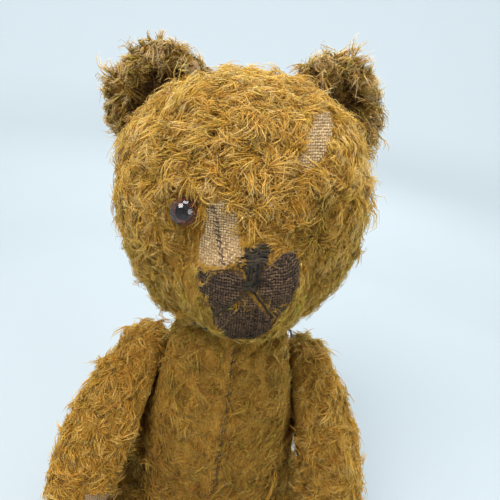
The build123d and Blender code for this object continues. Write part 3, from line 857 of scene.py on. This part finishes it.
def build_limb(kind, side):
    """Cloth and pile of an arm or a leg, with its pad bare."""
    arm, body = kind == "arm", kind + "_" + side

    def depth(points):
        """Distance out from the face that turns on the torso."""
        return arm_local(points, side)[:, 0] if arm else np.abs(points[:, 0]) - HIP_X

    pad = "_paw_pad" if arm else "_foot_pad"
    names = [body + end for end in ("_outer_panel", "_inner_panel", pad)]
    skin = Skin(names + [body + "_stuffing"], 1.8 if arm else 2.0)
    middle = skin.centres()
    if arm:
        on_pad = arm_local(middle, side)[:, 2] <= -70
        panel = np.where(depth(middle) > 15, 0, np.where(on_pad, 2, 1))
    else:
        on_pad = middle[:, 1] < SOLE_Y + 0.8
        panel = np.where(on_pad, 2, np.where(depth(middle) > 16, 0, 1))
    seed = (401 if arm else 501) + (0 if side == "left" else 30)
    relief(skin, panel, 0.8, 0.5, seed, clip01((depth(skin.points) - 1) / 8))
    if body == "arm_right":
        skin.push(-2.4 * crease(skin.points, *ARM_CREASE, 5.0))
    cover_panels(skin, body, panel, names, 1.2, [BACKING, BACKING, PAD_CLOTH])
    pile = Pile(skin, seed + 5)
    for k, name in enumerate(names[:2]):
        at, out = pile.scatter(panel == k, 0.16 if arm else 0.12)
        bare = depth(at) < (1.6 if arm else 1.4)
        if not arm:
            bare |= (at[:, 2] < 0.9) | (at[:, 1] < -147)
        at, out = at[~bare], out[~bare]
        swirl = 0.9 * swirls(at, seed + 1, 22.0)
        tone = Waves(seed + 9, 28.0)(at)
        if arm:
            flow = np.array((0, -0.2, -1.0)) + swirl
            below = np.clip((-arm_local(at, side)[:, 2] - 22) / 12, 0, 1.2)
            scale = np.clip((depth(at) - 1) / 7 + below, 0.45, 1.1)
            # Painted shade: the bear's left arm, away from the key lamp, is darker than the right;
            # the waves add random tone.
            stain_and_shade = (0.05 if side == "right" else 0.2) + 0.15 * tone
        else:
            flow = np.array((0, -0.9, -0.3)) + swirl
            scale = np.clip((depth(at) - 1) / 7, 0.45, 1.0) * np.clip(at[:, 2] / 6, 0.3, 1.0)
            stain_and_shade = 0.15 + 0.4 * tone
        lay_pile(pile, name, body, BODY_PILE, (at, out), flow, np.clip(stain_and_shade, 0, 0.6),
                 scale=scale, **LIMB_STYLES[kind])


# ---- face ----
class Front:
    """Finds places on the front of the head from x and z in the head's frame."""

    def __init__(self, skin):
        self.tree = skin.tree()

    def at(self, x, z, lift=0.0):
        start = Vector(head_world((x, -120.0, z))[0])
        hit, normal, _, _ = self.tree.ray_cast(start, Vector((0.0, 1.0, 0.0)))
        return np.array(hit) + np.array(normal) * lift, np.array(normal)


def yarn_paths(front, x, z, heading, long, lift):
    """A short raised yarn lying on the cloth."""
    dx, dz = math.cos(heading) * long / 2, math.sin(heading) * long / 2
    ends = (-1.0, -0.33, 0.33, 1.0)
    rise = (-0.15, lift, lift, -0.15)
    return [front.at(x + dx * e, z + dz * e, r)[0] for e, r in zip(ends, rise)]


def bare_weave(front, name, outline, pitch, material, seed):
    """Bare backing cloth, with every yarn crossing as its own raised stitch."""
    rng = np.random.default_rng(seed)
    low, high = np.min(outline, 0), np.max(outline, 0)
    paths, tones = [], []
    for i, x in enumerate(np.arange(low[0], high[0], pitch)):
        for j, z in enumerate(np.arange(low[1], high[1], pitch)):
            if not inside(outline, np.array([x]), np.array([z]))[0]:
                continue
            heading = (0.0 if (i + j) % 2 else math.pi / 2) + rng.normal(0, 0.12)
            at = (x + rng.normal(0, 0.06), z + rng.normal(0, 0.06))
            paths.append(yarn_paths(front, *at, heading, pitch * 1.45, 0.3))
            tones.append(rng.normal(0, 0.5))
    radius = np.full(len(paths), pitch * 0.44)
    tones = {"tone": np.array(tones)}
    thing = strand_object(name, np.array(paths), radius, material, tones, (0.6, 1.0, 1.0, 0.6))
    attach(thing, "head")


def tube(points, radius, sides=6):
    """Points and quads of a round closed tube through places in a row."""
    points = np.asarray(points, float)
    along = unit(np.gradient(points, axis=0))
    guide = np.tile((0.31, 0.17, 0.93), (len(points), 1))
    side = unit(np.cross(along, guide))
    up = np.cross(side, along)
    turn = 2 * np.pi * np.arange(sides) / sides
    ring = np.cos(turn)[:, None] * side[:, None] + np.sin(turn)[:, None] * up[:, None]
    body = (points[:, None] + ring * radius).reshape(-1, 3)
    count, last = len(body), len(body) - sides
    pairs = [(k, (k + 1) % sides) for k in range(sides)]
    faces = [[i + k, i + m, i + sides + m, i + sides + k]
             for i in range(0, last, sides) for k, m in pairs]
    caps = []
    for k, m in pairs:
        caps += [[count, m, k], [count + 1, last + k, last + m]]
    ends = [points[0] - along[0] * radius * 0.5, points[-1] + along[-1] * radius * 0.5]
    return np.concatenate([body, ends]), np.array(faces), np.array(caps)


def tubes_object(name, rows, radius, material, body):
    """Several tubes as one piece."""
    points, quads, tris, tones, start = [], [], [], [], 0
    rng = np.random.default_rng(len(rows))
    for row in rows:
        p, q, t = tube(row, radius)
        points.append(p)
        quads.append(q + start)
        tris.append(t + start)
        tones.append(np.full(len(p), rng.normal(0, 0.6)))
        start += len(p)
    thing = new_object(name, np.concatenate(points),
                       [np.concatenate(quads), np.concatenate(tris)], material)
    add_attribute(thing, "tone", np.concatenate(tones))
    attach(thing, body)
    return thing


def stitched_line(front, ends, step, lift, wander, seed):
    """Places along a line over the face, with a little unevenness."""
    rng = np.random.default_rng(seed)
    row = []
    for (x0, z0), (x1, z1) in zip(ends[:-1], ends[1:]):
        count = max(2, int(math.hypot(x1 - x0, z1 - z0) / step))
        for k in range(count):
            f = k / count
            dx, dz = rng.normal(0, wander * 0.5, 2)
            row.append(front.at(x0 + (x1 - x0) * f + dx, z0 + (z1 - z0) * f + dz, lift)[0])
    return row


def build_nose(front):
    """Worn upright satin stitches under a short bar, with frayed ends."""
    rng = np.random.default_rng(7)
    rows = []
    for x in np.arange(-2.4, 2.5, 0.62):
        top = 58.8 - abs(x) * 0.5
        line = [(x + 2.2, top), (x + 1.3, 56.0), (x * 0.7 + 0.8, 52.0), (x * 0.9, 49.2)]
        rows.append(stitched_line(front, line, 0.9, 0.75, 0.3, int(100 + x * 10)))
    for z in np.arange(56.2, 60.0, 0.62):
        half = 5.0 - abs(z - 58.4) * 0.6
        line = [(2.6 - half, z - 0.4), (2.6, z + 0.5), (2.6 + half, z)]
        rows.append(stitched_line(front, line, 0.9, 0.95, 0.35, int(z * 10)))
    for z in (48.6, 49.4, 50.2):
        line = [(-2.6, z), (0.2, z - 0.3), (2.8, z)]
        rows.append(stitched_line(front, line, 0.8, 1.0, 0.3, int(z * 10)))
    nose = tubes_object("nose_threads", rows, 0.42, CHARCOAL, "head")
    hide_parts("nose_stitching")
    at, out = [], []
    for _ in range(90):
        x, z = rng.normal(2.2, 2.9), rng.uniform(50, 60)
        if abs(x - 2.2 * (z - 49) / 11) > (5.2 if z > 56 else 2.6):
            continue
        hit, normal = front.at(x, z, 0.6)
        at.append(hit)
        out.append(normal)
    at, out = np.array(at), np.array(out)
    flow = rng.normal(size=at.shape) + (0, 0, -0.8)
    style = dict(strands=5, length=3.6, radius=0.15, reach=0.7, rise=0.7, fall=-0.4,
                 curl=1.2, disorder=0.6, gather=0.3)
    paths, radius, tone = Pile(None, 8).grow(at, out, flow, style)
    fuzz = strand_object("nose_fray", paths, radius, CHARCOAL, {"tone": tone})
    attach(fuzz, "head")


# Each bare place: name, outline, distance between yarns, material.
WEAVES = (
    ("bridge_weave", BRIDGE, 0.95, PALE_WEAVE),
    ("muzzle_weave_right", PATCH_RIGHT, 0.9, DARK_WEAVE),
    ("muzzle_weave_left", PATCH_LEFT, 0.9, DARK_WEAVE),
    ("chin_weave", CHIN, 0.9, DARK_WEAVE),
    ("brow_weave", BROW_PATCH, 1.0, PALE_WEAVE),
)
MOUTH_LINES = (
    [(-0.3, 49.2), (-5.5, 43.6), (-12.4, 36.4)],
    [(0.6, 49.2), (5.0, 43.4), (9.6, 37.2)],
)
# The last of the seams runs down the bridge and has cross stitches over it.
SEAM_LINES = (
    [(-18.5, 50.0), (-10.0, 52.6), (-2.7, 54.2)],
    [(-18.5, 50.0), (-17.5, 43.0), (-12.2, 36.4), (-11.5, 31.0)],
    [(4.4, 54.6), (12.0, 57.2), (19.5, 56.0)],
    [(19.5, 56.0), (18.0, 47.0), (11.0, 37.5), (8.2, 31.0)],
    [(-14.6, 73.5), (-12.6, 67.0), (-11.2, 60.0), (-9.4, 54.0)],
)


def build_face(skin):
    """Bare weave, nose, mouth and the darned seams of the muzzle."""
    front = Front(skin)
    for seed, weave in enumerate(WEAVES, 1):
        bare_weave(front, *weave, seed)
    build_nose(front)
    mouth = [stitched_line(front, line, 0.8, 0.5, 0.25, 11 + k)
             for k, line in enumerate(MOUTH_LINES)]
    thing = tubes_object("mouth_threads", mouth, 0.45, CHARCOAL, "head")
    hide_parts("mouth_stitching")
    seams = [stitched_line(front, line, 0.9, 0.3, 0.3, 21 + k)
             for k, line in enumerate(SEAM_LINES)]
    for k, z in enumerate(np.arange(54.5, 73.0, 1.7)):
        x = np.interp(z, (54.0, 60.0, 67.0, 73.5), (-9.4, -11.2, -12.6, -14.6))
        line = [(x - 1.3, z + 0.5), (x + 1.2, z - 0.4)]
        seams.append(stitched_line(front, line, 0.6, 0.45, 0.2, 40 + k))
    tubes_object("patch_seams", seams, 0.28, SEAM_THREAD, "head")


def build_torso_seam(skin):
    """Closing stitches down the front and the back of the torso."""
    tree = skin.tree()
    rows = []

    def on_cloth(x, z, way, lift):
        start = Vector((x, way * 90.0, z))
        return np.array(tree.ray_cast(start, Vector((0.0, -way, 0.0)))[0]) + (0, way * lift, 0)

    for way in (-1, 1):
        rows.append([on_cloth(0.35 * math.sin(z * 0.35), z, way, 0.15)
                     for z in np.arange(8.0, 170.0, 2.0)])
        for z in np.arange(12.0, 166.0, 4.2):
            rows.append([on_cloth(x, z + 0.5 * x, way, 0.5 if abs(x) < 1 else -0.1)
                         for x in (-1.7, -0.6, 0.6, 1.7)])
    tubes_object("torso_seam", rows, 0.22, SEAM_THREAD, "torso")


def build_neck_thread():
    """Gathering thread wound twice around the neck, with a frayed end."""
    rows = []
    for lap, (grow, z) in enumerate(((1.6, 176.0), (2.6, 176.9))):
        turn = np.linspace(0, 2 * np.pi * 0.985, 90) + lap
        wave = 0.25 * np.sin(turn * 7 + lap)
        x = (31.9 + grow + wave) * np.cos(turn) - 0.6
        y = (29.7 + grow + wave) * np.sin(turn)
        rows.append(np.stack([x, y, z + 0.2 * np.sin(turn * 5)], 1))
    tail = [(26.0, -22.0, 176.4), (27.6, -22.6, 175.4), (28.4, -23.0, 173.8), (28.8, -23.1, 172.2)]
    rows.append(tail)
    thing = tubes_object("neck_threads", rows, 0.62, NECK_THREAD, "head")
    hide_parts("neck_thread")


def dress_cad_nodes():
    """Materials of the carried-over nodes inside the covers."""
    looks = {
        "wood_wool": wood_wool_material(),
        "hardboard": board_material(),
        "steel": steel_material(),
        "eye_glass": glass_material(),
        "eye_pupil": pupil_material(),
    }
    for name, thing in nodes.items():
        slot = frame_slot(name)
        if slot in looks:
            thing.data.materials.clear()
            thing.data.materials.append(looks[slot])


def build_iris():
    """Painted brown back of the glass eye, around the pupil."""
    count = 48
    out = unit(EYE_OUT)
    middle = EYE_GLASS_AT + out * (0.8 - 2.12)
    side = unit(np.cross(out, (0, 0, 1)))
    up = np.cross(side, out)
    k = np.arange(count)
    turn = 2 * np.pi * k / count
    ring = np.cos(turn)[:, None] * side + np.sin(turn)[:, None] * up
    # Each row: radius, height, tone of the paint. The dark outer rows are painted shade, standing
    # in for the dark edge of the thick glass.
    rows = ((5.15, 0.0, 0.0), (4.55, 0.05, 0.0), (4.2, 0.06, 0.5), (3.5, 0.06, 0.8),
            (2.9, 0.06, 0.45), (2.9, -0.1, 0.0), (5.15, -0.1, 0.0))
    points = np.concatenate([middle + ring * r + out * h for r, h, _ in rows])
    m = (k + 1) % count
    quads = []
    for row in range(len(rows)):
        a, b = row * count, (row + 1) % len(rows) * count
        quads.append(np.stack([k + a, m + a, m + b, k + b], 1))
    shade = Shade("iris_paint", Roughness=0.3, Specular_IOR_Level=0.3)
    depth = shade.math("MULTIPLY_ADD", shade.noise(900.0, 2.0), 0.3, shade.attribute("tone"))
    stops = [(0.1, (0.012, 0.005, 0.006)), (0.6, (0.16, 0.055, 0.040)), (1.0, (0.34, 0.15, 0.11))]
    paint = shade.colour(shade.ramp(depth, stops))
    thing = new_object("eye_iris", head_world(points), [np.concatenate(quads)], paint)
    add_attribute(thing, "tone", np.repeat([tone for _, _, tone in rows], count))
    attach(thing, "head")


# ---- stage ----
def build_stage():
    """Plain pale floor that curves up all round, far behind the bear, painted paler with distance
    as painted light.
    """
    shade = Shade("pale_floor", Roughness=0.7, Specular_IOR_Level=0.2)
    pale = [(0.3, (0.365, 0.405, 0.425)), (0.7, (0.38, 0.42, 0.44))]
    tint = shade.ramp(shade.noise(3.0, 2.0), pale)
    # Painted light: the floor grows paler with distance from the bear, to make up for the lamps'
    # light falling off.
    away = shade.node("ShaderNodeVectorMath", {0: shade.place()}, operation="LENGTH")
    painted_far_light = shade.math("MULTIPLY_ADD", away.outputs["Value"], 0.7, -0.35, use_clamp=True)
    material = shade.colour(shade.mix(painted_far_light, tint, (0.59, 0.64, 0.665, 1.0)))
    floor_z, flat, bowl = -0.6, 1400, 1100
    profile = [(r, floor_z) for r in (40, 150, 400, 800, flat)]
    profile += [(flat + bowl * math.sin(a), floor_z + bowl - bowl * math.cos(a))
                for a in np.linspace(0, np.pi / 2, 13)[1:]]
    profile += [(flat + bowl, z) for z in (1500, 2000)]
    r, z = np.array(profile).T
    turn = 2 * np.pi * np.arange(72) / 72
    rows, columns = len(r), len(turn)
    x, y = np.cos(turn)[:, None] * r, np.sin(turn)[:, None] * r
    points = np.stack([x.ravel(), y.ravel(), np.tile(z, columns)], 1)
    points = np.concatenate([points, [(0.0, 0.0, floor_z)]])
    i = np.arange(columns)[:, None] * rows + np.arange(rows - 1)[None]
    j = (i + rows) % (rows * columns)
    quads = np.stack([i, i + 1, j + 1, j], -1).reshape(-1, 4)
    middle = np.stack([np.full(columns, rows * columns), i[:, 0], j[:, 0]], 1)
    new_object("floor", points, [quads, middle], material)


def area_light(name, place, target, size, power, colour):
    """A round lamp that faces its target. Lengths are in metres."""
    lamp = bpy.data.lights.new(name, "AREA")
    lamp.shape = "DISK"
    lamp.size = size
    lamp.energy = power
    lamp.color = colour
    thing = linked(name, lamp)
    thing.location = place
    thing.rotation_euler = (Vector(target) - Vector(place)).to_track_quat("-Z", "Y").to_euler()


def build_light():
    """Soft daylight from all round, with a stronger lamp from the bear's right."""
    world = bpy.data.worlds.new("studio")
    world.use_nodes = True
    sky = world.node_tree.nodes["Background"].inputs
    sky["Color"].default_value = (0.80, 0.88, 0.93, 1)
    sky["Strength"].default_value = 0.62
    bpy.context.scene.world = world
    bpy.context.scene.view_settings.view_transform = "Standard"
    area_light("key", (-0.50, -0.45, 1.05), (0, 0, 0.2), 0.6, 13.5, (1.0, 0.98, 0.95))
    area_light("fill", (0.75, -0.75, 0.55), (0, 0, 0.2), 0.7, 6.5, (0.96, 0.98, 1.0))
    area_light("back", (0.2, 0.9, 0.9), (0, 0, 0.25), 0.6, 7.0, (0.95, 0.98, 1.0))
    area_light("backdrop", (0.0, 0.3, 2.9), (0.0, 1.9, 0.6), 1.6, 60.0, (0.97, 0.98, 1.0))


def build_camera():
    """Close, a little above the face and to the bear's right, rolled a little."""
    azimuth, elevation, roll = (math.radians(a) for a in (-7.45, 23.96, 9.71))
    lens = bpy.data.cameras.new("camera")
    lens.sensor_width = 36.0
    lens.lens = 29.53
    lens.clip_start = 0.01
    place = Matrix.Translation((-0.0221, -0.1933, 0.2940))
    for angle, axis in ((azimuth, "Z"), (math.pi / 2 - elevation, "X"), (roll, "Z")):
        place = place @ Matrix.Rotation(angle, 4, axis)
    thing = linked("camera", lens)
    thing.matrix_world = place
    bpy.context.scene.camera = thing


head_skin = build_head()
for ear_side in ("left", "right"):
    build_ear(ear_side)
torso_skin = build_torso()
for limb_side in ("left", "right"):
    build_limb("arm", limb_side)
    build_limb("leg", limb_side)
build_face(head_skin)
build_iris()
build_torso_seam(torso_skin)
build_neck_thread()
dress_cad_nodes()
build_stage()
build_light()
build_camera()
